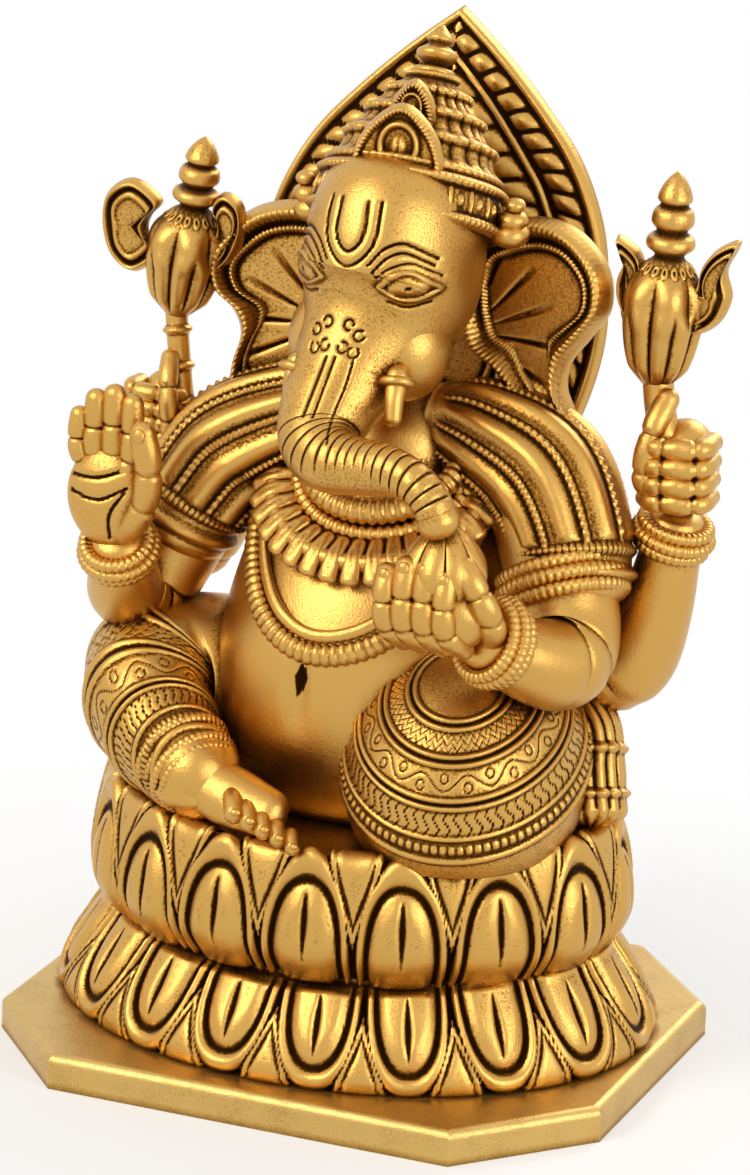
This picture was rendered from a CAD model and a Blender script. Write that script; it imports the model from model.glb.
"""A seated elephant-headed deity in chased brass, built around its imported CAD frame.

Every piece is a surface worked out with numpy in millimetres and put into Blender in metres.
The figure looks along -Y, and its own left is +X.
"""

import logging
import math
from dataclasses import dataclass, field
from enum import Enum
from typing import Callable, Optional, Sequence

import bpy
import numpy as np
from mathutils import Matrix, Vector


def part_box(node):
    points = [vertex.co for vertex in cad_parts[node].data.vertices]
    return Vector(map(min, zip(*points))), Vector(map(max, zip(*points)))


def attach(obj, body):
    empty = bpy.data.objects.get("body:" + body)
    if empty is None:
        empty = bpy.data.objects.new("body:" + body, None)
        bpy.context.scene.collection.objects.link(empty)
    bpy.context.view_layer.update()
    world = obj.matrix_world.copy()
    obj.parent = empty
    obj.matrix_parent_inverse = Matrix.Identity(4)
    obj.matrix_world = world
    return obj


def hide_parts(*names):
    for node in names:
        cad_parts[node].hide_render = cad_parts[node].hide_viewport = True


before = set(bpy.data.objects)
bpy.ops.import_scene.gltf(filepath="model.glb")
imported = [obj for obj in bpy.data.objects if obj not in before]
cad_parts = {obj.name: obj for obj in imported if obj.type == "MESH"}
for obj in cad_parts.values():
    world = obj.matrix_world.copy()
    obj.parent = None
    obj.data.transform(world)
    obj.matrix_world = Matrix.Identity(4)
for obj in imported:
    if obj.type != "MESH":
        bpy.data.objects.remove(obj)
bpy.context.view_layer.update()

Array = np.ndarray
MM = 0.001
UP = np.array([0.0, 0.0, 1.0])
FORWARD = np.array([0.0, -1.0, 0.0])
DOME_ROWS = 6
logging.basicConfig(level=logging.INFO, format="%(message)s")
log = logging.getLogger("statue")


# ------------------------------------------------------------------ curves and surfaces
def vec(*values: float) -> Array:
    """Give an array of floats."""
    return np.array(values, dtype=float)


def unit(vectors: Array) -> Array:
    """Scale vectors along the last axis to length one."""
    length = np.linalg.norm(vectors, axis=-1, keepdims=True)
    return vectors / np.maximum(length, 1e-9)


def ease(low: float, high: float, x: Array) -> Array:
    """Rise smoothly from 0 at low to 1 at high: 3t^2 - 2t^3."""
    t = np.clip((x - low) / (high - low), 0.0, 1.0)
    return t * t * (3.0 - 2.0 * t)


def bump(x: Array, centre: float, half_width: float) -> Array:
    """Give a smooth hill, 1 at centre and 0 beyond half_width: (1 - t^2)^2."""
    t = np.clip((x - centre) / half_width, -1.0, 1.0)
    return (1.0 - t * t) ** 2


def spline(points: Sequence, count: int, closed: bool = False) -> Array:
    """Run a Catmull-Rom curve through the points and space it evenly by length.

    Args:
        points: control points of any dimension.
        count: number of points to return.
        closed: whether the curve joins its start.

    Returns:
        An array of count rows.
    """
    p = np.asarray(points, dtype=float)
    if closed:
        p = np.vstack([p[-1:], p, p[:2]])
    else:
        p = np.vstack([2 * p[:1] - p[1:2], p, 2 * p[-1:] - p[-2:-1]])
    t = np.linspace(0, 1, 24, endpoint=False)[:, None]
    parts = []
    for a, b, c, d in zip(p[:-3], p[1:-2], p[2:-1], p[3:]):
        parts.append(0.5 * (2 * b + (c - a) * t + (2 * a - 5 * b + 4 * c - d) * t**2
                            + (3 * b - a - 3 * c + d) * t**3))
    dense = np.vstack(parts + [p[-2:-1]])
    length = np.concatenate([[0], np.cumsum(np.linalg.norm(np.diff(dense[:, :3], axis=0), axis=1))])
    even = np.linspace(0, length[-1], count + 1)[:-1] if closed else np.linspace(0, length[-1], count)
    return np.stack([np.interp(even, length, dense[:, k]) for k in range(dense.shape[1])], axis=1)


def arc_length(path: Array) -> Array:
    """Give the running length along a path."""
    return np.concatenate([[0], np.cumsum(np.linalg.norm(np.diff(path, axis=0), axis=1))])


def grid_normals(grid: Array, wrap: bool) -> Array:
    """Give unit normals of a grid: the cross product of its two gradients."""
    du = np.gradient(grid, axis=0)
    if wrap:
        dv = (np.roll(grid, -1, axis=1) - np.roll(grid, 1, axis=1)) / 2
    else:
        dv = np.gradient(grid, axis=1)
    return unit(np.cross(du, dv))


def raise_relief(grid: Array, height: Array, wrap: bool = True) -> Array:
    """Push a grid out along its normals, so that positive height is outwards."""
    normals = grid_normals(grid, wrap)
    outward = np.sum(normals * (grid - grid.mean(axis=(0, 1))))
    return grid + normals * (height if outward > 0 else -height)[..., None]


def with_ends(rows: Array) -> Array:
    """Repeat the first and last rows for the domes that close a tube."""
    return np.concatenate([np.repeat(rows[:1], DOME_ROWS, 0), rows, np.repeat(rows[-1:], DOME_ROWS, 0)])


def full_turn(count: int) -> Array:
    """Give count angles evenly spaced round a full turn, as one row."""
    return np.linspace(0, 2 * math.pi, count, endpoint=False)[None]


def frames_along(path: Array, hint: Array) -> tuple[Array, Array]:
    """Give two cross directions along a path: one near hint, and one square to it."""
    tangent = unit(np.gradient(path, axis=0))
    across = unit(hint - tangent * np.sum(tangent * hint, axis=1, keepdims=True))
    return across, np.cross(tangent, across)


def tube(path: Array, half_width: Array, half_height: Array, hint: Array, around: int = 32,
         cap: float = 1.0) -> Array:
    """Carry an oval along a path and close both ends with domes.

    Args:
        path: centre line in millimetres.
        half_width: half size along hint at each path point.
        half_height: half size square to hint at each path point.
        hint: direction that the oval's width follows.
        around: points around the oval.
        cap: how far the domes stand out, as a share of the half height.

    Returns:
        A grid of rows along the path and columns around it; its first and last rows are poles.
    """
    half_width = np.broadcast_to(np.asarray(half_width, dtype=float), len(path)).copy()
    half_height = np.broadcast_to(np.asarray(half_height, dtype=float), len(path)).copy()
    across, upward = frames_along(path, hint)
    tangent = unit(np.gradient(path, axis=0))
    swing = np.linspace(0, math.pi / 2, DOME_ROWS + 1)[1:]
    head_angle, tail_angle = swing[::-1], swing
    reach_head = cap * half_height[0] * np.sin(head_angle)
    reach_tail = cap * half_height[-1] * np.sin(tail_angle)
    centre = np.vstack([path[0] - tangent[0] * reach_head[:, None], path,
                        path[-1] + tangent[-1] * reach_tail[:, None]])
    shrink = np.concatenate([np.cos(head_angle), np.ones(len(path)), np.cos(tail_angle)])
    angle = full_turn(around)
    wide = (with_ends(half_width) * shrink)[:, None] * np.cos(angle)
    high = (with_ends(half_height) * shrink)[:, None] * np.sin(angle)
    return centre[:, None, :] + with_ends(across)[:, None, :] * wide[..., None] + (
        with_ends(upward)[:, None, :] * high[..., None])


def to_segments(points: Array, line: Array) -> Array:
    """Give each point's distance to a polyline."""
    start, end = line[:-1], line[1:]
    best = np.full(len(points), 1e9)
    for a, b in zip(start, end):
        along = b - a
        t = np.clip((points - a) @ along / max(along @ along, 1e-9), 0, 1)
        best = np.minimum(best, np.linalg.norm(points - a - t[:, None] * along, axis=1))
    return best


@dataclass
class Skin:
    """A mesh being made: points in millimetres and faces, possibly of several grids."""

    name: str
    points: list = field(default_factory=list)
    faces: list = field(default_factory=list)
    count: int = 0

    def add(self, grid: Array, wrap: bool = True, poles: bool = True) -> "Skin":
        """Add one closed grid, with its first and last rows drawn to poles, facing outwards.

        Args:
            grid: rows, columns and three coordinates.
            wrap: whether the columns close round.
            poles: whether the end rows become single points.
        """
        rows, cols = grid.shape[:2]
        index = np.arange(rows * cols).reshape(rows, cols)
        points = grid.reshape(-1, 3).copy()
        ends = []
        if poles:
            top, bottom = grid[0].mean(axis=0), grid[-1].mean(axis=0)
            points = np.vstack([points, top, bottom])
            nxt = np.roll(index, -1, axis=1)
            pole = np.full(cols, rows * cols)
            ends = [np.stack([pole, nxt[0], index[0]], 1), np.stack([pole + 1, index[-1], nxt[-1]], 1)]
        if wrap:
            nxt = np.roll(index, -1, axis=1)
            a, b, c, d = index[:-1], nxt[:-1], nxt[1:], index[1:]
        else:
            a, b, c, d = index[:-1, :-1], index[:-1, 1:], index[1:, 1:], index[1:, :-1]
        quads = np.stack([a, b, c, d], axis=-1).reshape(-1, 4)
        triangles = np.vstack([quads[:, :3], quads[:, [0, 2, 3]]] + ends)
        p = points[triangles]
        volume = np.sum(np.cross(p[:, 0], p[:, 1]) * p[:, 2])
        flip = volume < 0
        self.points.append(points)
        self.faces += [(row[::-1] if flip else row) for row in (quads + self.count).tolist()]
        for fan in ends:
            self.faces += [(row[::-1] if flip else row) for row in (fan + self.count).tolist()]
        self.count += len(points)
        return self

    def build(self, finish: "Finish", slot: str, *nodes: str) -> bpy.types.Object:
        """Make the Blender object, dress it and tell the frame which CAD nodes it stands for."""
        points = np.vstack(self.points)
        mesh = bpy.data.meshes.new(self.name)
        mesh.from_pydata((points * MM).tolist(), [], self.faces)
        mesh.update()
        mesh.polygons.foreach_set("use_smooth", np.ones(len(mesh.polygons), dtype=bool))
        store_hollows(mesh)
        obj = bpy.data.objects.new(self.name, mesh)
        bpy.context.scene.collection.objects.link(obj)
        mesh.materials.append(finish.material())
        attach(obj, "root")
        if nodes:
            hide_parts(*nodes)
        log.info("%s: %d faces", self.name, len(self.faces))
        return obj


def store_hollows(mesh: bpy.types.Mesh) -> None:
    """Store how deep each point lies below its neighbourhood, in millimetres, as "hollow".

    The neighbourhood is the mesh averaged along its edges a few times; the depth is the
    average's height above the point, measured along the point's normal.
    """
    count = len(mesh.vertices)
    points = np.empty(count * 3)
    normals = np.empty(count * 3)
    mesh.vertices.foreach_get("co", points)
    mesh.vertices.foreach_get("normal", normals)
    points, normals = points.reshape(-1, 3) / MM, normals.reshape(-1, 3)
    edges = np.empty(len(mesh.edges) * 2, dtype=int)
    mesh.edges.foreach_get("vertices", edges)
    a, b = edges[0::2], edges[1::2]
    degree = np.maximum(np.bincount(a, minlength=count) + np.bincount(b, minlength=count), 1)
    average = points.copy()
    depth = np.zeros(count)
    for turn in range(1, 9):
        total = [np.bincount(a, average[b, k], count)
                 + np.bincount(b, average[a, k], count) for k in range(3)]
        average = 0.5 * average + 0.5 * np.stack(total, axis=1) / degree[:, None]
        if turn in (2, 8):
            depth += np.sum((average - points) * normals, axis=1)
    attribute = mesh.attributes.new("hollow", "FLOAT", "POINT")
    attribute.data.foreach_set("value", depth.astype(np.float32))


# ------------------------------------------------------------------ finishes
def linear(hex_colour: str) -> tuple[float, float, float, float]:
    """Turn an sRGB hex value into linear light."""
    parts = [int(hex_colour[k:k + 2], 16) / 255 for k in (0, 2, 4)]
    rgb = [c / 12.92 if c <= 0.04045 else ((c + 0.055) / 1.055) ** 2.4 for c in parts]
    return (*rgb, 1.0)


def add_node(tree: bpy.types.NodeTree, kind: str, settings: Optional[dict] = None,
             links: Optional[dict] = None) -> bpy.types.Node:
    """Add a node, set its properties or input values and link its inputs.

    Args:
        tree: the node tree to add to.
        kind: the node's type name.
        settings: property names or input names with their values.
        links: input names or numbers with the output sockets that feed them.

    Returns:
        The new node.
    """
    node = tree.nodes.new(kind)
    for key, value in (settings or {}).items():
        if isinstance(key, str) and hasattr(node, key):
            setattr(node, key, value)
        else:
            node.inputs[key].default_value = value
    for key, socket in (links or {}).items():
        tree.links.new(socket, node.inputs[key])
    return node


@dataclass(frozen=True)
class Finish:
    """A brass surface: polished high places, and hollows full of brown patina.

    The hollows are sand-cast and matted with a punch, which gives the eye a sparkling grain;
    the high places are rubbed bright with fine, short scratches.
    """

    name: str = "chased_cast_brass"
    bright: str = "D2A456"
    body: str = "A87731"
    patina: str = "694213"
    deep: str = "2E1A05"
    polished_roughness: float = 0.3
    hollow_roughness: float = 0.5
    grain_mm: float = 0.55
    speckle: float = 1.6
    scratch_mm: float = 0.5
    reach_mm: float = 3.2
    hollow_gain: float = 3.4

    def material(self) -> bpy.types.Material:
        """Build the node tree once and return the material."""
        known = bpy.data.materials.get(self.name)
        if known:
            return known
        material = bpy.data.materials.new(self.name)
        material.use_nodes = True
        tree = material.node_tree
        tree.nodes.clear()
        place = add_node(tree, "ShaderNodeTexCoord").outputs["Object"]
        hollow = add_node(tree, "ShaderNodeAttribute", {"attribute_name": "hollow"}).outputs["Fac"]
        open_sky = add_node(tree, "ShaderNodeAmbientOcclusion",
                            {"samples": 6, "Distance": self.reach_mm * MM}).outputs["AO"]
        crevice = add_node(tree, "ShaderNodeMapRange",
                           {"From Min": 0.95, "From Max": 0.35, "To Min": 0.0, "To Max": 0.75},
                           {"Value": open_sky}).outputs["Result"]
        stain = add_node(tree, "ShaderNodeTexNoise", {"Scale": 1 / (9 * MM), "Detail": 5.0},
                         {"Vector": place}).outputs["Fac"]
        groove = add_node(tree, "ShaderNodeMath", {"operation": "MULTIPLY", 1: self.hollow_gain},
                          {0: hollow}).outputs[0]
        depth = add_node(tree, "ShaderNodeMath", {"operation": "ADD"}, {0: groove, 1: crevice}).outputs[0]
        shift = add_node(tree, "ShaderNodeMath", {"operation": "MULTIPLY_ADD", 1: 0.36, 2: -0.16},
                         {0: stain}).outputs[0]
        depth = add_node(tree, "ShaderNodeMath", {"operation": "ADD"}, {0: depth, 1: shift}).outputs[0]
        grain = add_node(tree, "ShaderNodeTexNoise",
                         {"Scale": 1 / (self.grain_mm * MM), "Detail": 3.0, "Roughness": 0.7},
                         {"Vector": place}).outputs["Fac"]
        speck = add_node(tree, "ShaderNodeMath",
                         {"operation": "MULTIPLY_ADD", 1: self.speckle, 2: -0.5 * self.speckle},
                         {0: grain}).outputs[0]
        depth = add_node(tree, "ShaderNodeMath", {"operation": "ADD", "use_clamp": True},
                         {0: depth, 1: speck}).outputs[0]
        ramp = add_node(tree, "ShaderNodeValToRGB", {}, {"Fac": depth})
        stops = ramp.color_ramp.elements
        stops[0].position, stops[0].color = 0.0, linear(self.bright)
        stops[1].position, stops[1].color = 1.0, linear(self.deep)
        for position, colour in ((0.18, self.body), (0.55, self.patina)):
            stop = stops.new(position)
            stop.color = linear(colour)
        rough = add_node(tree, "ShaderNodeMapRange",
                         {"From Min": 0.0, "From Max": 0.6, "To Min": self.polished_roughness,
                          "To Max": self.hollow_roughness}, {"Value": depth}).outputs["Result"]
        scratch = add_node(tree, "ShaderNodeTexNoise",
                           {"Scale": 1 / (self.scratch_mm * MM), "Detail": 2.0, "Distortion": 1.5},
                           {"Vector": add_node(tree, "ShaderNodeMapping", {"Scale": (1.0, 1.0, 0.16)},
                                               {"Vector": place}).outputs[0]}).outputs["Fac"]
        grit = add_node(tree, "ShaderNodeMapRange",
                        {"From Min": 0.12, "From Max": 0.5, "To Min": 0.22, "To Max": 1.0},
                        {"Value": depth}).outputs["Result"]
        fine = add_node(tree, "ShaderNodeBump", {"Strength": 0.35, "Distance": 0.06 * MM},
                        {"Height": scratch}).outputs["Normal"]
        surface = add_node(tree, "ShaderNodeBump", {"Distance": 0.7 * MM},
                           {"Height": grain, "Strength": grit, "Normal": fine}).outputs["Normal"]
        shader = add_node(tree, "ShaderNodeBsdfPrincipled", {"Metallic": 1.0},
                          {"Base Color": ramp.outputs["Color"], "Roughness": rough, "Normal": surface})
        add_node(tree, "ShaderNodeOutputMaterial", {}, {"Surface": shader.outputs[0]})
        return material


CHASED = Finish()
FILED = Finish(name="filed_brass_plate", bright="D6B26A", body="BE9650", patina="96702E", deep="4A300E",
               polished_roughness=0.34, hollow_roughness=0.5, scratch_mm=0.35, reach_mm=2.0,
               hollow_gain=1.0, speckle=0.5)
BOLT_STEEL = Finish(name="zinc_plated_steel", bright="C9CCD0", body="B0B3B8", patina="8A8C90",
                    deep="505256")


# ------------------------------------------------------------------ places taken from the frame
def level(node: str, top: bool = True) -> float:
    """Give the highest or lowest level of a CAD node in millimetres."""
    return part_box(node)[1 if top else 0][2] / MM


PLATE_TOP = level("plinth_plate")
WAIST = level("lotus_lower")
SEAT = level("lotus_upper")


def seat_point(x: float, y: float, z: float) -> Array:
    """Give a point by its height above the seat."""
    return vec(x, y, SEAT + z)


# ------------------------------------------------------------------ lotus
@dataclass
class Lotus:
    """Two rings of petals, one opening upwards under the seat and one spreading over the plinth."""

    upper_petals: int = 16
    lower_petals: int = 18
    columns: int = 720
    rows: int = 100

    def ovals(self, profile: Sequence, angle: Array) -> Array:
        """Turn (half width, half depth, height) rows into a grid of ovals."""
        line = spline(profile, self.rows)
        x = line[:, :1] * np.cos(angle)
        y = line[:, 1:2] * np.sin(angle)
        return np.stack([x, y, np.repeat(line[:, 2:3], len(angle), axis=1)], axis=-1)

    def even_angles(self, half_width: float, half_depth: float) -> tuple[Array, Array]:
        """Space the oval's angles evenly by length, and give each one's share of the round."""
        fine = np.linspace(0, 2 * math.pi, 4001)
        edge = np.stack([half_width * np.cos(fine), half_depth * np.sin(fine)], axis=1)
        length = arc_length(edge)
        share = np.linspace(0, 1, self.columns, endpoint=False)
        return np.interp(share * length[-1], length, fine), share

    def petal(self, x: Array, y: Array, pitch: float, tip: float, heart: bool) -> Array:
        """Give one petal's relief in millimetres.

        The outline is |x / w|^2.2 + y^q = 1, w its half width; inside come a raised rim, a groove,
        and a swollen middle with a slit that ends in a drop.

        Args:
            x: place across the petal, -0.5 to 0.5 of a pitch.
            y: place along the petal, 0 at its root and 1 at its tip.
            pitch: petal spacing in millimetres.
            tip: the power q, which makes a blunter tip when larger.
            heart: whether the slit runs from the tip side like a heart's notch.
        """
        wide = np.abs(x) / 0.475
        inside = 1 - (wide**2.2 + np.clip(y, 0, 2) ** tip)
        edge = inside * pitch * 0.27
        body = ease(-0.25, 0.35, edge)
        rim = bump(edge, 1.15, 1.15) * 0.95
        groove = bump(edge, 2.55, 0.75) * 0.75
        swell = ease(2.9, 4.6, edge) + ease(3.4, 8.0, edge) * 0.9
        slit_y = bump(y, 0.42 if heart else 0.5, 0.36)
        slit = np.exp(-(x * pitch / (0.35 + 0.5 * slit_y)) ** 2) * slit_y * 1.2
        return body * 1.5 + rim - groove + swell - slit * ease(3.0, 4.0, edge)

    def wedge(self, x: Array, y: Array, pitch: float) -> Array:
        """Give the small three-cornered petal that shows between two large ones."""
        edge = (1 - np.abs(x) / 0.30 - np.clip(1 - y, 0, 9) * 1.45) * pitch * 0.3
        return ease(-0.2, 0.3, edge) * 1.5 + bump(edge, 0.9, 0.9) * 0.5 + ease(1.5, 3.0, edge) * 0.5

    def ring(self, grid: Array, share: Array, count: int, pitch: float, base: float, tip: float,
             reach: float, shift: float) -> tuple[Array, Array]:
        """Give the relief of a whole ring of petals, with the wedges behind them.

        Args:
            grid: the plain surface.
            share: each column's share of the way round.
            count: number of petals.
            pitch: petal spacing in millimetres.
            base: level of the petals' roots.
            tip: level of the petals' tips.
            reach: the outline's power.
            shift: how far the ring is turned, in pitches.
        """
        y = (grid[..., 2] - base) / (tip - base)
        turn = share * count + shift
        uneven = 0.05 * np.sin(turn * 2.4) + 0.03 * np.sin(turn * 5.1 + 1.3)
        x = turn % 1.0 - 0.5
        x = np.broadcast_to(x, y.shape)
        front = self.petal(x, y * (1 + uneven * 0.25), pitch, reach, tip < base)
        x_between = np.broadcast_to((turn + 0.5) % 1.0 - 0.5, y.shape)
        back = self.wedge(x_between, y, pitch)
        on = ease(-0.05, 0.02, y) * (1 - ease(1.06, 1.12, y))
        return np.maximum(front, back) * on, x

    def build(self) -> None:
        """Build both rings."""
        _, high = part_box("lotus_upper")
        half_x, half_y = high[0] / MM, high[1] / MM
        a, b = half_x - 3.2, half_y - 3.2
        angle, share = self.even_angles(a, b)
        pitch = 2 * math.pi * math.sqrt((a * a + b * b) / 2) / self.upper_petals
        profile = [(2, 2, WAIST + 0.4), (50, 38, WAIST + 0.4), (a - 5.5, b - 5.7, WAIST + 0.2),
                   (a - 3.5, b - 4, WAIST + 2.0), (a - 0.4, b - 0.4, WAIST + 7), (a, b, WAIST + 12),
                   (a - 0.8, b - 0.9, SEAT - 8), (a - 2.2, b - 2.3, SEAT - 1.5),
                   (a - 3.6, b - 3.6, SEAT + 0.8),
                   (a - 6.5, b - 6.5, SEAT + 0.4), (a - 14, b - 12, SEAT - 0.2), (20, 18, SEAT),
                   (2, 2, SEAT)]
        grid = self.ovals(profile, angle)
        grid = self.denser(grid)
        height, x = self.ring(grid, share, self.upper_petals, pitch, WAIST + 0.5, SEAT + 0.6, 3.2, 0.18)
        radius = np.hypot(grid[..., 0] / a, grid[..., 1] / b)
        outer = ease(0.84, 0.88, radius)
        relief = raise_relief(grid, height * outer)
        crest = np.cos(x * math.pi) ** 2 * ease(0.90, 0.94, radius) * ease(SEAT - 4, SEAT, grid[..., 2])
        relief[..., 2] += 2.2 * crest
        Skin("lotus_upper_petals").add(relief).build(CHASED, "chased_brass", "lotus_upper")

        _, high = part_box("lotus_lower")
        a, b = high[0] / MM - 1.5, high[1] / MM - 1.5
        angle, share = self.even_angles(a, b)
        pitch = 2 * math.pi * math.sqrt((a * a + b * b) / 2) / self.lower_petals
        profile = [(2, 2, PLATE_TOP), (50, 38, PLATE_TOP), (a - 2.2, b - 2.2, PLATE_TOP),
                   (a - 0.2, b - 0.2, PLATE_TOP + 1.2),
                   (a, b, PLATE_TOP + 3.2), (a - 1.6, b - 1.8, PLATE_TOP + 7.5),
                   (a - 5.6, b - 5.9, PLATE_TOP + 14.0),
                   (a - 9.5, b - 10.0, WAIST - 2.4), (a - 10.4, b - 11.0, WAIST - 0.2),
                   (a - 13, b - 13.5, WAIST + 0.6),
                   (30, 24, WAIST + 0.6), (2, 2, WAIST + 0.6)]
        grid = self.denser(self.ovals(profile, angle))
        height, _ = self.ring(grid, share, self.lower_petals, pitch, WAIST - 0.5, PLATE_TOP + 0.3, 2.6,
                              0.45)
        radius = np.hypot(grid[..., 0] / a, grid[..., 1] / b)
        relief = raise_relief(grid, height * ease(0.80, 0.84, radius))
        relief[..., 2] = np.maximum(relief[..., 2], PLATE_TOP + 0.02)
        Skin("lotus_lower_petals").add(relief).build(CHASED, "chased_brass", "lotus_lower")

    def denser(self, grid: Array) -> Array:
        """Space the rows again so that most of them lie on the outer face."""
        middle = grid[:, 0]
        length = arc_length(middle)
        radius = np.hypot(middle[:, 0], middle[:, 1])
        weight = 0.12 + ease(0.78 * radius.max(), 0.86 * radius.max(), radius)
        pace = np.concatenate([[0], np.cumsum(weight[1:] * np.diff(length))])
        rows = np.interp(np.linspace(0, pace[-1], self.rows), pace, np.arange(len(pace)))
        low = np.clip(rows.astype(int), 0, len(grid) - 2)
        part = (rows - low)[:, None, None]
        return grid[low] * (1 - part) + grid[low + 1] * part


# ------------------------------------------------------------------ shared shapes
def lay_on(grid: Array, points: Sequence, count: int = 30) -> Array:
    """Lay a curve given by (x, z) points on the front of a surface.

    Args:
        grid: the surface's points.
        points: the curve's control points.
        count: number of points to return.

    Returns:
        The curve, each point as deep as the nearest front-facing grid point and then evened out.
    """
    flat = grid.reshape(-1, 3)
    normals = grid_normals(grid, True).reshape(-1, 3)
    sign = 1 if np.sum(normals * (flat - flat.mean(axis=0))) > 0 else -1
    front = flat[sign * normals[:, 1] < -0.05]
    line = spline(points, count)
    gap = (front[None, :, 0] - line[:, :1]) ** 2 + (front[None, :, 2] - line[:, 1:2]) ** 2
    depth = front[np.argmin(gap, axis=1), 1]
    depth = np.convolve(np.pad(depth, 2, mode="edge"), np.ones(5) / 5, "valid")
    return np.stack([line[:, 0], depth, line[:, 1]], axis=1)


def mirrored(points: Sequence, middle: float) -> list:
    """Reflect (x, z) points in the upright line x = middle."""
    return [(2 * middle - x, z) for x, z in points]


def etch(grid: Array, lines: Sequence[Array], width: float, height: float) -> Array:
    """Give a relief along lines: height * exp(-(distance / width)^2).

    Args:
        grid: the surface's points.
        lines: curves on or near the surface.
        width: how far from a line the relief fades, in millimetres.
        height: relief on the line in millimetres; below 0 it is cut in.

    Returns:
        One height for each of the grid's points.
    """
    flat = grid.reshape(-1, 3)
    best = np.full(len(flat), 1e9)
    for line in lines:
        best = np.minimum(best, to_segments(flat, line))
    return (height * np.exp(-(best / width) ** 2)).reshape(grid.shape[:2])


def plate(outline: Sequence, core: Sequence[float], place: Array, right: Array, up: Array, thickness: float,
          relief: Callable, count: int = 360, rows: int = 60, smooth: bool = True) -> Array:
    """Make a closed plate from its outline: rows run from the front's core over the edge to the back's.

    Args:
        outline: closed loop of (x, y) points in the plate's plane.
        core: the (x, y) point that the rows run to.
        place, right, up: the plane's origin and directions.
        thickness: plain thickness in millimetres.
        relief: height of the front from edge distance, length along the edge, x and y.
        count, rows: points along the edge, and from edge to core.
    """
    loop = spline(outline, count, closed=True) if smooth else np.asarray(outline, dtype=float)
    along = arc_length(np.vstack([loop, loop[:1]]))[:-1]
    reach = np.linalg.norm(loop - np.asarray(core), axis=1)
    share = np.linspace(0, 1, rows)[:, None]
    flat = np.asarray(core) + share[..., None] * (loop - np.asarray(core))[None]
    depth = (1 - share) * reach[None]
    round_edge = np.sqrt(1 - (1 - np.clip(depth / (thickness * 0.5), 0, 1)) ** 2)
    front = thickness / 2 * round_edge + relief(depth, along[None] + 0 * depth, flat[..., 0],
                                                flat[..., 1]) * ease(0, 1.2, depth)
    back = -thickness / 2 * round_edge
    both = np.concatenate([flat, flat[::-1][1:]], axis=0)
    lift = np.concatenate([front, back[::-1][1:]], axis=0)
    normal = np.cross(right, up)
    return place + both[..., :1] * right + both[..., 1:] * up + lift[..., None] * normal


def ball(centre: Array, radii: Sequence[float], rows: int = 24, around: int = 32) -> Array:
    """Make an egg with its poles at the top and bottom.

    Args:
        centre: the egg's middle.
        radii: half sizes along X, Y and Z.
        rows: points from pole to pole.
        around: points round the upright axis.

    Returns:
        The egg's grid of points.
    """
    polar = np.linspace(0.02, math.pi - 0.02, rows)[:, None]
    turn = full_turn(around)
    return centre + np.stack([radii[0] * np.sin(polar) * np.cos(turn),
                              radii[1] * np.sin(polar) * np.sin(turn),
                              radii[2] * np.cos(polar) + 0 * turn], axis=-1)


def lathe(profile: Sequence, place: Array, axis: Array, rows: int, around: int,
          relief: Optional[Callable] = None, facing: Array = FORWARD) -> Array:
    """Turn a profile about an axis.

    Args:
        profile: (radius, height) points along the axis.
        place: where height 0 lies.
        axis: the unit direction that height is measured along.
        rows: points along the profile.
        around: points round the axis.
        relief: extra radius from the height and the turn, which is 0 at facing.
        facing: the direction that the turn starts from.

    Returns:
        A grid of rows along the profile and columns round the axis.
    """
    line = spline(profile, rows)
    side = unit(facing - axis * (facing @ axis))
    other = np.cross(axis, side)
    turn = full_turn(around)
    radius = line[:, :1] + (relief(line[:, 1:2], turn) if relief else 0)
    return place + axis * line[:, 1:2, None] + radius[...,
                                                      None] * (side * np.cos(turn)[..., None] + other
                                                               * np.sin(turn)[..., None])


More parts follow.
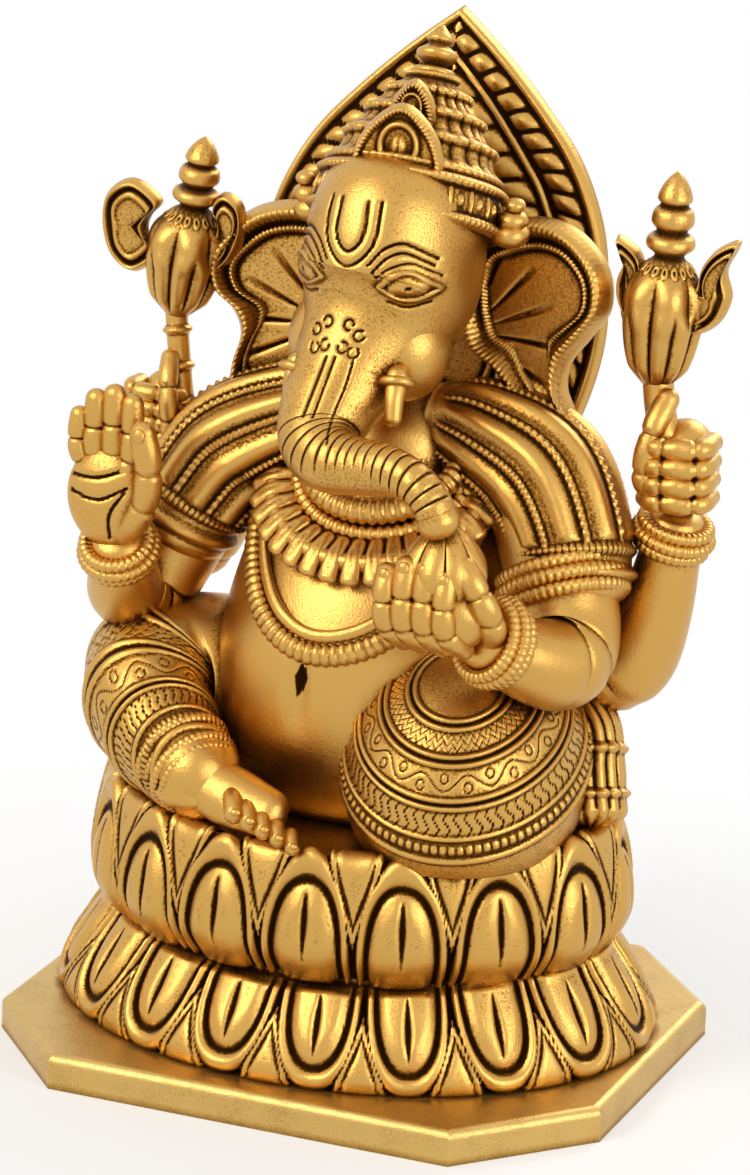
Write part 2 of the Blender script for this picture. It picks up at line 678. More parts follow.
# ------------------------------------------------------------------ body
@dataclass
class Body:
    """The hollow torso and the two folded legs with their worked cloth."""

    knee: tuple = (30.0, -14.0, 15.5)
    knee_size: tuple = (26.5, 32.0, 29.0)
    cloth_pole: tuple = (33.5, -27.2, 41.6)

    def torso(self) -> None:
        """Build chest and belly from ovals, with the navel and the fold over it."""
        levels = [(2, 2, 0, 6, 0), (33, 27, 0, 6, 0.2), (34.5, 32, 0, 3, 18), (33.5, 33, 0, 1, 36),
                  (32, 31, 1, 3, 50),
                  (29, 25.5, 1.5, 4, 61), (24, 20.5, 2, 4.5, 70), (17.5, 15.5, 3, 5, 79),
                  (12.5, 12, 4, 5, 88), (2, 2, 4, 5, 96)]
        line = spline(levels, 115)
        turn = full_turn(190)
        grid = np.stack([line[:, 2:3] + line[:, :1] * np.cos(turn),
                         line[:, 3:4] + line[:, 1:2] * np.sin(turn),
                         SEAT + line[:, 4:5] + 0 * turn], axis=-1)
        navel, _ = on_torso([(-3.6, SEAT + 35.5), (-2.6, SEAT + 35.0)], 5, 0.0)
        height = etch(grid, [navel], 2.3, -4.2) + etch(grid, [navel], 4.6, 1.2)
        for drop in (0, 5):
            fold = lay_on(grid, [(-22, SEAT + 27 - drop), (-6, SEAT + 22.5 - drop),
                                 (10, SEAT + 25 - drop)], 40)
            height += etch(grid, [fold], 1.6, 0.7)
        Skin("body_casting").add(raise_relief(grid, height)).build(CHASED, "chased_brass", "torso")

    def cloth(self, distance: Array, turn: Array, scale: float = 1.0) -> Array:
        """Give the worked cloth's relief in rings round its pole: raised borders, then chased fields.

        Distance is in millimetres from the pole and turn in radians; the fields are a hatched net,
        scrolls of a vine, and a comb of short strokes above the beaded hem.
        """
        relief = np.zeros_like(distance + turn)
        for ring in (11.0, 12.9, 19.0, 20.9, 28.5, 30.4, 37.5):
            relief += bump(distance, ring * scale, 0.85) * 0.75
        arc = turn * 26.0
        net = np.minimum(np.abs(np.sin((arc + distance * 1.4) * 1.15)),
                         np.abs(np.sin((arc - distance * 1.4) * 1.15)))
        relief -= (1 - ease(0.0, 0.35, net)) * 0.24 * bump(distance, 16.0 * scale, 2.6 * scale) ** 0.3
        wave = (distance - 24.7 * scale) - 1.7 * np.sin(arc / 2.1)
        curl = np.hypot((arc / 2.1 % math.pi - math.pi / 2) * 2.1, (distance - 24.7 * scale)
                        + 1.1 * np.sign(np.sin(arc / 2.1)))
        field_mask = bump(distance, 24.7 * scale, 3.9 * scale) ** 0.3
        relief -= (np.exp(-(wave / 0.28) ** 2) + np.exp(-((curl - 1.1) / 0.26) ** 2)) * 0.26 * field_mask
        comb = np.abs(np.sin(arc * 1.3 + 0.8 * np.sin(distance * 1.2)))
        relief -= (1 - ease(0.0, 0.5, comb)) * 0.35 * bump(distance, 34.0 * scale, 3.2 * scale) ** 0.3
        relief += bump(distance, 40.5 * scale, 1.6) * (0.7 + 0.35 * np.sin(arc * 3.4))
        relief += bump(distance, 43.6 * scale, 1.3) * 0.8
        return relief

    def left_leg(self) -> None:
        """Build the large dome of the folded left leg as a polar grid round the cloth's pole."""
        centre = seat_point(*self.knee)
        pole = unit(seat_point(*self.cloth_pole) - centre)
        side = unit(np.cross(UP, pole))
        other = np.cross(pole, side)
        polar = np.linspace(0.01, 2.45, 190)[:, None]
        turn = full_turn(340)
        ray = (np.cos(polar)[..., None] * pole + np.sin(polar)[..., None]
               * (np.cos(turn)[..., None] * side + np.sin(turn)[..., None] * other))
        grid = centre + ray * np.array(self.knee_size)
        relief = self.cloth(polar * 29.5, turn)
        grid = raise_relief(grid, relief)
        grid[..., 2] = np.maximum(grid[..., 2], SEAT - 0.5)
        Skin("left_leg_cloth").add(grid).build(CHASED, "chased_brass", "left_leg")

    def right_leg(self) -> None:
        """Build the raised right leg: one tube from hip over knee to ankle, with slanting borders."""
        path = spline([(-10, 8, 18, 17, 16), (-30, 3, 22, 18, 18), (-43.5, -7, 25, 16.5, 18),
                       (-44.5, -17, 21.5, 15.2, 16.5),
                       (-37, -26.5, 16, 12.6, 13.4), (-26, -34.5, 12, 9.6, 10.2)], 220)
        path[:, 2] += SEAT
        grid = tube(path[:, :3], path[:, 3], path[:, 4], vec(0.6, 0.6, 0.5), 160)
        along = arc_length(path[:, :3])
        along = with_ends(along)[:, None]
        turn = full_turn(160)
        relief = self.cloth(np.abs(along - 34 + 3.5 * np.sin(turn)), turn * 0.6)
        grid = raise_relief(grid, relief * ease(2, 8, along))
        grid[..., 2] = np.maximum(grid[..., 2], SEAT - 0.5)
        Skin("right_leg_cloth").add(grid).build(CHASED, "chased_brass", "right_leg")

    def foot(self) -> None:
        """Build the foot, five toes with nails and ring, and the ribbed anklets."""
        ankle, ball_of_foot = seat_point(-24, -36, 11), seat_point(-5.5, -41.5, 8.0)
        line = spline([(*ankle, 6.5, 6.8), (*(0.5 * (ankle + ball_of_foot) + vec(0, 0, -0.4)), 6.8, 5.4),
                       (*ball_of_foot, 5.6, 4.4)], 40)
        skin = Skin("right_foot_casting").add(tube(line[:, :3], line[:, 3], line[:, 4],
                                                   vec(0.3, 0.7, 1.0), 40))
        for toe in range(5):
            t = toe / 4
            root = seat_point(-13.5, -42.5, 10.6) * (1 - t) + seat_point(1.6, -45.0, 5.2) * t
            tip = root + vec(2.4, -4.4, -1.8) * (1.0 - 0.06 * toe)
            size = 2.5 - 0.16 * toe
            path = spline([root, 0.5 * (root + tip) + vec(0, 0, 0.5), tip], 14)
            skin.add(tube(path, size, size * 0.9, UP, 16))
            skin.add(ball(tip + vec(0.9, -1.3, 0.9), (size * 0.55, size * 0.5, size * 0.4), 8, 12))
        skin.build(CHASED, "chased_brass", "right_foot")
        rings = Skin("anklet_cords")
        shin = unit(vec(18, -13, -8))
        for step in range(4):
            rings.add(hoop(ankle - shin * (0.5 + 2.7 * step), shin, 9.0 + 0.45 * step,
                           1.35 if step % 2 else 1.0))
        rings.build(CHASED, "chased_brass", "anklets")

    def build(self) -> None:
        """Build torso, legs and foot."""
        self.torso()
        self.left_leg()
        self.right_leg()
        self.foot()


def hoop(centre: Array, axis: Array, radius: float, thick: float, pitch: float = 1.3,
         depth: float = 0.2) -> Array:
    """Make a closed ribbed ring.

    Args:
        centre: the ring's middle.
        axis: the direction that the ring is threaded on.
        radius: from the middle to the section's middle.
        thick: radius of the section.
        pitch: distance between ribs in millimetres.
        depth: how much the section swells at a rib.

    Returns:
        A grid of rows round the ring and columns round its section.
    """
    side = unit(np.cross(axis, vec(0.3, 0.9, 0.4)))
    other = np.cross(axis, side)
    count = max(int(2 * math.pi * radius / pitch) * 6, 60)
    turn = np.linspace(0, 2 * math.pi, count + 1)[:, None]
    small = np.linspace(0, 2 * math.pi, 13)[:-1][None]
    swell = thick + depth * (np.abs(np.sin(turn * count / 12)) - 0.5)
    out = side * np.cos(turn)[..., None] + other * np.sin(turn)[..., None]
    return centre + out * (radius + swell * np.cos(small))[...,
                                                           None] + axis * (swell * np.sin(small))[..., None]


# ------------------------------------------------------------------ head
@dataclass
class Head:
    """Skull and trunk in one sweep, with the chased face, the tusks and the ears."""

    middle: float = 3.4

    def skull(self) -> None:
        """Sweep an oval from the top of the skull down the face and along the trunk, then chase it."""
        stations = [(6, -1, 147, 11, 13), (5.8, -3, 141, 16.8, 20.5), (5.6, -5.5, 131, 19.2, 23),
                    (5.0, -7.5, 121, 19.3, 22.5),
                    (3.6, -12.5, 112, 16.4, 17.5), (1.4, -21, 103.5, 12.6, 12),
                    (0.0, -28.5, 96.5, 10.4, 9.8),
                    (0.8, -34, 91.5, 8.8, 8.6), (5, -38, 89.2, 7.4, 7.6), (12, -40.5, 89.2, 6.0, 6.3),
                    (20, -43, 90.0, 5.2, 5.6), (27, -45, 89.0, 4.6, 5.0), (31.5, -46, 85.5, 4.3, 4.7),
                    (33.8, -46.5, 81.5, 4.6, 4.6)]
        path = spline(stations, 380)
        path[:, 2] += SEAT
        grid = tube(path[:, :3], path[:, 3], path[:, 4], vec(1.0, 0.05, 0.05), 180, 0.8)
        along = arc_length(path[:, :3])
        along = with_ends(along)[:, None]
        turn = full_turn(180)
        bend = along[-1, 0] - 44
        creases = (1 - ease(0.0, 0.45, np.abs(np.sin(math.pi * along / 2.3))))
        upper = ease(-0.2, 0.5, np.sin(turn)) if self.front_is_plus(grid) else ease(-0.2, 0.5,
            -np.sin(turn))
        relief = -0.5 * creases * ease(bend, bend + 6,
                                       along) * (1 - ease(along[-1] - 4, along[-1] - 1, along)) * upper
        z = SEAT
        m = self.middle
        brow = [(8.6, z + 130.0), (11.6, z + 133.6), (15.6, z + 134.6), (21.2, z + 131)]
        brow_low = [(9.4, z + 128.3), (12.2, z + 131.6), (15.8, z + 132.7), (20.8, z + 129.7)]
        lid_top = [(10.4, z + 125.0), (13.2, z + 127.6), (17.0, z + 128.4), (21.8, z + 124.6)]
        lid_low = [(10.4, z + 125.0), (13.8, z + 122.7), (17.4, z + 122.4), (21.8, z + 124.6)]
        crease = [(10.0, z + 127.2), (13.2, z + 129.6), (17.2, z + 130.4), (22.0, z + 127.2)]
        under = [(12.0, z + 121.6), (15.8, z + 120.4), (20, z + 121.6)]
        mark = [(m - 6.2, z + 143), (m - 5.6, z + 134), (m, z + 129.2), (m + 5.6, z + 134),
                (m + 6.2, z + 143)]
        mark_in = [(m - 3.4, z + 143), (m - 3.2, z + 135.6), (m, z + 132.4), (m + 3.2, z + 135.6),
                   (m + 3.4, z + 143)]
        for lines, width, deep in (((brow, brow_low), 0.42, -0.55), ((lid_top, lid_low), 0.5, 0.75),
                                   ((crease, under), 0.34, -0.4)):
            curves = [lay_on(grid, line) for pts in lines for line in (pts, mirrored(pts, m))]
            relief = relief + etch(grid, curves, width, deep)
        relief = relief + etch(grid, [lay_on(grid, mark), lay_on(grid, mark_in)], 0.45, -0.6)
        eyes = [lay_on(grid, pts, 8) for pts in ([(13.6, z + 125), (18.8, z + 125.2)],
                                                 mirrored([(13.6, z + 125), (18.8, z + 125.2)], m))]
        relief = relief + etch(grid, eyes, 1.7, 0.9)
        pupils = [lay_on(grid, pts, 3) for pts in ([(16.0, z + 125.1), (16.4, z + 125.1)],
                                                   mirrored([(16.0, z + 125.1), (16.4, z + 125.1)], m))]
        relief = relief + etch(grid, pupils, 0.6, -0.6)
        curls = []
        for side in (-1, 1):
            for k, (dx, dz) in enumerate(((2.6, 116), (5.2, 114), (4.6, 110.6), (2.2, 111.5))):
                spin = np.linspace(0, 1.6 * math.pi, 9)
                curls.append(lay_on(grid, [(m - 2 + side * (dx + 1.1 * math.cos(a + k)),
                                            z + dz + 1.1 * math.sin(a + k)) for a in spin], 16))
        curls.append(lay_on(grid, [(m - 3, z + 109.5), (m - 3.6, z + 104), (m - 4.4, z + 98)]))
        curls.append(lay_on(grid, [(m - 1, z + 109.5), (m - 1.6, z + 104), (m - 2.2, z + 98)]))
        curls.append(lay_on(grid, [(m + 3, z + 109.5), (m + 2.6, z + 104), (m + 1.8, z + 98),
                                   (m + 3, z + 94)]))
        relief = relief + etch(grid, curls, 0.36, -0.45)
        grid = raise_relief(grid, relief)
        skin = Skin("head_and_trunk").add(grid)
        for side in (-1, 1):
            skin.add(ball(seat_point(m + side * 8.4, -13.5, 108.5), (9.8, 10.5, 11.5), 40, 60))
        skin.build(CHASED, "chased_brass", "head")

    def front_is_plus(self, grid: Array) -> bool:
        """Tell whether a quarter of the way round the sweep faces up along the trunk's end."""
        row = grid[-60]
        return bool(row[row.shape[0] // 4, 2] > row[3 * row.shape[0] // 4, 2])

    def tusks(self) -> None:
        """Build each tusk with the lipped socket that it stands in."""
        for name, side, length in (("left_tusk", 1, 9.0), ("right_tusk", -1, 5.5)):
            root = seat_point(self.middle + side * 11.5, -25.5, 105.5)
            tip = root + vec(0.1 * side, -0.45, -0.9) * length
            line = spline([root, 0.5 * (root + tip) + vec(0, -0.6, 0), tip], 20)
            skin = Skin(name + "_ivory_form").add(tube(line, np.linspace(2.6, 1.9, 20),
                                                       np.linspace(2.6, 1.9, 20), vec(1, 0, 0), 24))
            axis = unit(tip - root)
            skin.add(hoop(root + axis * 1.4, axis, 3.0, 1.1, 9.0, 0.0), poles=False)
            skin.build(CHASED, "chased_brass", name)

    def ears(self) -> None:
        """Build the fan ears: rolled ribbed rim, inner cord, and grooves fanning out from the head."""
        left = [(16, 127), (24, 132.5), (34, 135), (43, 133), (50, 126.5), (51.5, 118), (47, 110.5),
                (42.5, 104), (42, 97),
                (46, 90), (49.5, 83.5), (41, 87), (33, 93), (25, 99), (17, 104), (14, 115)]
        right = [(-8, 127), (-18, 130.5), (-29, 131), (-38, 127.5), (-45.5, 119), (-45, 111),
                 (-39.5, 105.5), (-37.5, 100),
                 (-39, 93), (-38.5, 86), (-33, 82.5), (-25, 84.5), (-16, 90), (-10, 98), (-7, 108),
                 (-7, 118)]
        for name, outline, core, side in (("left_ear", left, (31, 113), 1),
                                          ("right_ear", right, (-25, 110), -1)):
            def relief(depth: Array, along: Array, x: Array, y: Array, core=core, side=side) -> Array:
                """Give rim, cord, fan grooves and the dish of the ear."""
                rim = bump(depth, 2.3, 2.6) * 2.6 * (1 + 0.10 * np.cos(2 * math.pi * along / 1.5))
                upper = ease(core[1] - 8, core[1] + 2, y)
                inner = bump(depth, 6.3, 1.2) * 1.3 * (1 + 0.3
                                                       * np.cos(2 * math.pi * along / 1.3)) * (0.35
                                                           + 0.65 * upper)
                angle = np.arctan2(y - core[1] + 6, side * (x - side * 17))
                radius = np.hypot(y - core[1] + 6, x - side * 17)
                fan = (1 - ease(0.0, 0.5, np.abs(np.sin(angle * 7.5)))) * bump(radius, 14,
                    8.5) ** 0.5 * 0.75
                lobe = ease(core[1] - 10, core[1] - 16, y) * bump(depth, 6, 6) * 0.8
                return rim + inner - fan * ease(5.5, 8, depth) + lobe - 1.3 * ease(3.5, 8, depth)
            right_dir = unit(vec(1, -0.20 * side, 0))
            place = vec(0, 6.5, SEAT)
            grid = plate(outline, core, place, right_dir, unit(vec(0, 0.10, 1)), 4.4, relief, 330, 52)
            Skin(name + "_fan").add(grid).build(CHASED, "chased_brass", name)

    def build(self) -> None:
        """Build head, tusks and ears."""
        self.skull()
        self.tusks()
        self.ears()


# ------------------------------------------------------------------ crown and aureole
@dataclass
class Crown:
    """Banded crown with tiers, medallions, finial, the beads above the ears, and the aureole."""

    lean: float = 23.5

    def build(self) -> None:
        """Build the crown's pieces about its leaning axis, then the aureole."""
        a = math.radians(self.lean)
        axis = vec(0, math.sin(a), math.cos(a))
        base = seat_point(6.0, -2.0, 132.2)
        def band(height: Array, turn: Array) -> Array:
            """Give the ribbed cords at both edges and the bars and ovals between them."""
            ribs = np.abs(np.sin(turn * 42))
            cords = (bump(height, 1.4, 1.7) + bump(height, 9.6, 1.6)) * (1.3 + 0.35 * ribs)
            cell = (turn * 24 / (2 * math.pi)) % 1 - 0.5
            bars = bump(cell, 0.5, 0.16) + bump(cell, -0.5,
                                                0.16) + bump(np.hypot(cell * 4.6, (height - 5.5) / 1.8),
                                                             0, 1.0)
            return cords + bars * 0.8 * bump(height, 5.5, 2.9) ** 0.4
        profile = [(2, 0), (18, 0), (20.4, 0.2), (20.6, 5), (19.6, 10), (18.8, 11), (12, 11), (2, 11)]
        Skin("crown_base_bands").add(lathe(profile, base, axis, 100, 560, band)).build(CHASED,
            "chased_brass", "crown_band")
        def tiers(height: Array, turn: Array) -> Array:
            """Give four ribbed rings with upright flutes between them."""
            relief = np.zeros_like(height + turn)
            for ring, thick in ((12.4, 1.3), (18.6, 1.2), (24.4, 1.1), (29.4, 1.0), (33.2, 0.9)):
                relief += bump(height, ring, thick + 0.5) * (thick + 0.3 * np.abs(np.sin(turn * 30)))
            flutes = np.abs(np.sin(turn * 12))
            return relief + 0.8 * flutes * ease(12.8, 14, height) * (1 - ease(30, 32, height))
        profile = [(2, 10), (17.5, 10), (18.6, 11.5), (16.2, 15), (15.2, 18.5), (12.6, 22), (11.6, 24.4),
                   (9.0, 27.5),
                   (7.8, 29.4), (5.6, 32.0), (4.8, 33.4), (2, 35)]
        Skin("crown_tiers").add(lathe(profile, base, axis, 130, 360, tiers)).build(CHASED, "chased_brass",
            "crown_cone")
        profile = [(1, 33), (4.4, 33.4), (4.6, 34.6), (2.6, 35.6), (4.2, 37.2), (4.4, 38.6), (2.4, 40.2),
                   (2.9, 41.6), (1.6, 43.4), (0.5, 44.6)]
        Skin("crown_bud").add(lathe(profile, base, axis, 60, 64)).build(CHASED, "chased_brass",
            "crown_finial")
        skin = Skin("crown_medallions")
        for high, out, wide, tall in ((15.2, 17.2, 9.6, 7.6), (24.4, 11.8, 5.2, 5.2)):
            face = unit(FORWARD + vec(0.12, 0, 0) + UP * 0.1)
            right = unit(np.cross(axis, -face))
            lift = unit(np.cross(face, right))
            lift = lift if lift @ axis > 0 else -lift
            right = unit(np.cross(lift, face))
            place = base + axis * high + unit(face - axis * (face @ axis)) * out
            loop = [(-wide, -tall * 0.8), (-wide * 0.95, 0.2), (-wide * 0.55, tall * 0.75),
                    (0, tall * 1.15), (wide * 0.55, tall * 0.75),
                    (wide * 0.95, 0.2), (wide, -tall * 0.8), (0, -tall)]
            def relief(depth: Array, along: Array, x: Array, y: Array, wide=wide, tall=tall) -> Array:
                """Give the ribbed arch, the oval ring and the almond in it."""
                arch = bump(depth, 1.3, 1.2) * (1.0 + 0.3 * np.cos(2 * math.pi * along / 1.1))
                oval = np.hypot(x / (wide * 0.42), (y + 0.4) / (tall * 0.62))
                slit = 0.7 * np.exp(-(x / 0.4) ** 2) * bump(oval, 0, 0.7)
                return arch + bump(oval, 1.0, 0.24) * 1.1 + bump(oval, 0, 0.62) * 1.3 - slit
            normal = unit(np.cross(right, lift))
            right = right if normal @ FORWARD > 0 else -right
            skin.add(plate(loop, (0, 0), place, right, lift, 3.6, relief, 160, 30))
        skin.build(CHASED, "chased_brass", "crown_medallion")
        for name, side in (("right_ear_knob", -1), ("left_ear_knob", 1)):
            spot = base + vec(side * 23.2, 3, 2.5)
            skin = Skin(name + "_beads")
            for step, size in enumerate((4.2, 3.4, 2.3)):
                skin.add(ball(spot + vec(side * 0.6, -0.4, 0) * step + UP * (3.4 * step - 2),
                              (size, size, size * 0.72)))
            skin.build(CHASED, "chased_brass", name)
        self.aureole()

    def aureole(self) -> None:
        """Build the pointed arch: bright rim, slanting lobes, a ridge, and long flutes inside."""
        lean = math.radians(13.0)
        up = vec(0, math.sin(lean), math.cos(lean))
        half = [(0, 51.5), (11, 42.5), (22, 32), (31.5, 21), (38, 8.5), (41, -4), (42, -18), (39.5, -32),
                (34, -46), (26, -57)]
        side_line = spline(half, 150)
        foot = np.stack([np.linspace(26, -26, 40)[1:-1], np.full(38, -57.0)], axis=1)
        loop = np.vstack([side_line, foot, (side_line * (-1, 1))[::-1][:-1]])
        def relief(depth: Array, along: Array, x: Array, y: Array) -> Array:
            """Give the arch's borders from the distance to its edge."""
            total = 2 * arc_length(side_line)[-1] + 52
            from_tip = np.minimum(along, total - along)
            lobes = np.abs(np.sin(math.pi * (from_tip + depth * 0.9) / 6.0))
            flutes = np.abs(np.sin(math.pi * (from_tip + depth * 1.2) / 9.0))
            rim = bump(depth, 1.6, 1.9) * 1.3
            beads = bump(depth, 6.4, 3.4) ** 0.6 * (0.4 + 1.5 * lobes**0.7)
            ridge = bump(depth, 11.2, 1.2) * 1.6 + bump(depth, 25.5, 1.4) * 1.4
            inner = bump(depth, 18.4, 6.4) ** 0.6 * (0.3 + 1.5 * flutes**0.7)
            return rim + beads + ridge + inner
        place = vec(2.6, 26.0, SEAT + 123)
        grid = plate(loop, (0, -10), place, vec(1, 0, 0), up, 3.6, relief, 0, 70, smooth=False)
        Skin("aureole_arch").add(grid).build(CHASED, "chased_brass", "aureole")


# ------------------------------------------------------------------ ornaments
TORSO_OVALS = ((0, 33, 27, 0, 6), (18, 34.5, 32, 0, 3), (36, 33.5, 33, 0, 1), (50, 32, 31, 1, 3),
               (61, 29, 25.5, 1.5, 4),
               (70, 25.5, 21.5, 2, 4.5), (79, 21, 17, 3, 5), (92, 17, 14, 4, 5))


def on_torso(points: Sequence, count: int, lift: float) -> tuple[Array, Array]:
    """Lay a curve given by world (x, z) points on the front of the torso.

    Returns:
        The points, lifted off the surface, and the outward directions there.
    """
    line = spline(points, count)
    x, z = line[:, 0], line[:, 1] - SEAT
    levels = np.array(TORSO_OVALS, dtype=float)
    wide, deep, cx, cy = (np.interp(z, levels[:, 0], levels[:, k]) for k in range(1, 5))
    share = np.clip((x - cx) / wide, -0.97, 0.97)
    y = cy - deep * np.sqrt(1 - share**2)
    out = unit(np.stack([share / wide, -np.sqrt(1 - share**2) / deep, 0.004 + 0 * x], axis=1))
    return np.stack([x, y, line[:, 1]], axis=1) + out * lift, out


@dataclass
class Ornaments:
    """The rope collar, petal necklace, long garland, shawls and pleated drapes."""

    def build(self) -> None:
        """Build everything worn on the chest and beside the legs."""
        self.collar_and_necklace()
        self.garland()
        self.shawls()
        self.drapes()

    def collar_and_necklace(self) -> None:
        """Build two ribbed cords round the neck, and a row of tongue-shaped petals below them."""
        axis = vec(0, -math.sin(math.radians(33)), math.cos(math.radians(33)))
        skin = Skin("rope_collar")
        for shift, radius, thick in ((1.2, 17.4, 2.6), (-2.6, 20.4, 1.8)):
            skin.add(hoop(vec(4, -2, 137) + axis * shift, axis, radius, thick, 2.0, 0.5), poles=False)
        skin.build(CHASED, "chased_brass", "collar")
        skin = Skin("tongue_petals")
        count = 34
        for k in range(count):
            a = 2 * math.pi * k / count
            side, front = vec(1, 0, 0), np.cross(axis, vec(1, 0, 0))
            out = side * math.cos(a) + front * math.sin(a)
            inner, outer = vec(3.4, -3, 133.2) + out * 20.8, vec(3.2, -3.4, 131.6) + out * 28.2
            grid = tube(spline([inner, 0.5 * (inner + outer) + axis * 0.9, outer - axis * 0.6], 20),
                        np.linspace(1.7, 2.3, 20), 1.35,
                        np.cross(axis, out), 18)
            mid = spline([inner, 0.5 * (inner + outer) + axis * 2.2, outer], 8)
            skin.add(raise_relief(grid, etch(grid, [mid[2:-1]], 0.8, -0.55)))
        skin.add(hoop(vec(3.4, -3, 132.2), axis, 24.6, 2.0, 3.0, 0.0), poles=False)
        skin.build(CHASED, "chased_brass", "petal_necklace")

    def garland(self) -> None:
        """Build the long U band with a ribbed outer edge and a smooth inner cord."""
        path = [(-17, 146), (-23, 134), (-22.5, 118), (-14, 104.5), (-1.2, 99), (13, 102.5), (22, 113),
                (26, 126), (24, 140)]
        inner = [(-15, 146), (-19.5, 133), (-18.8, 119), (-11.5, 108), (-1, 103), (11, 106.3),
                 (18.5, 115), (22, 127), (21, 140)]
        skin = Skin("long_garland")
        for points, radius, depth, lift in ((path, 2.4, 0.5, 1.0), (inner, 1.5, 0.0, 1.2)):
            line, out = on_torso(points, 420, lift)
            line = np.stack([np.convolve(np.pad(line[:, k], 12, mode="edge"), np.ones(25) / 25,
                                         "valid") for k in range(3)], 1)
            grid = tube(line, radius * 0.8, radius, out, 20)
            along = arc_length(line)
            along = with_ends(along)[:, None]
            skin.add(raise_relief(grid, depth * (np.abs(np.sin(math.pi * along / 2.0)) - 0.5)
                                  + np.zeros((1, 20))))
        skin.build(CHASED, "chased_brass", "garland")

    def shawls(self) -> None:
        """Build each shawl as a sleeve from the neck over the shoulder, with long ribbed strips."""
        sides = (("left_shawl", [(13, 5, 146, 7, 8), (25, 4, 143, 11.5, 12), (38, 3, 136.5, 14.4, 14.4),
                                 (46, -1, 125, 13.6, 13.6),
                                 (49, -5, 114, 13.2, 13.2)]),
                 ("right_shawl", [(-8, 4, 145, 6.5, 8), (-20, 4, 141, 10.5, 12),
                                  (-33.5, 3, 133, 13.8, 13.8), (-41, -1, 123, 12.8, 12.8),
                                  (-45.5, -3, 114, 12.0, 12.0)]))
        for name, stations in sides:
            path = spline(stations, 190)
            grid = tube(path[:, :3], path[:, 3], path[:, 4], vec(0, -1, 0.2), 180, 0.4)
            along = arc_length(path[:, :3])
            length = along[-1]
            along = with_ends(along)[:, None]
            turn = full_turn(180)
            cell = (turn * 9 / (2 * math.pi)) % 1
            strips = bump(cell, 0.5, 0.34) * 1.1 + bump(cell, 0.06,
                                                        0.12) * (0.9 + 0.35 * np.sin(along * 4.2))
            hem = bump(along, length - 3.0, 2.2) * 1.4 + bump(along, length - 7.6,
                                                              1.3) * (1.0 + 0.3 * np.sin(turn * 60))
            relief = strips * (1 - ease(length - 10, length - 8, along)) + hem
            Skin(name + "_sleeve").add(raise_relief(grid, relief * ease(1, 6, along))).build(CHASED,
                "chased_brass", name)

    def drapes(self) -> None:
        """Build the pleated cloth at both sides in three stacked sections."""
        sides = (("left_drape", [(45, 10, 86, 6, 5), (50, 7, 79, 9.5, 6.5), (52, 4, 71, 10.5, 7),
                                 (53.5, 1, 62, 11.5, 7.5)], 9.5),
                 ("right_drape", [(-51, 4, 78, 4.5, 5), (-54, 2, 72, 6.5, 6), (-56, 0, 65, 7.5, 6.5),
                                  (-56.5, -2, 61, 7.8, 6.5)], 6.5))
        for name, stations, pitch in sides:
            path = spline(stations, 120)
            grid = tube(path[:, :3], path[:, 3], path[:, 4], vec(0.45, -0.9, 0), 144, 0.4)
            along = arc_length(path[:, :3])
            along = with_ends(along)[:, None]
            turn = full_turn(144)
            pleats = np.abs(np.sin(turn * 8 + 0.4 * np.sin(along / 4)))
            relief = 0.95 * pleats**0.8 * (0.75 + 0.25 * np.abs(np.cos(math.pi * along / pitch)))
            relief += bump(along % pitch, pitch / 2, 1.3) * 1.1
            grid = raise_relief(grid, relief)
            grid[..., 2] = np.maximum(grid[..., 2], SEAT - 0.5)
            Skin(name + "_pleats").add(grid).build(CHASED, "chased_brass", name)


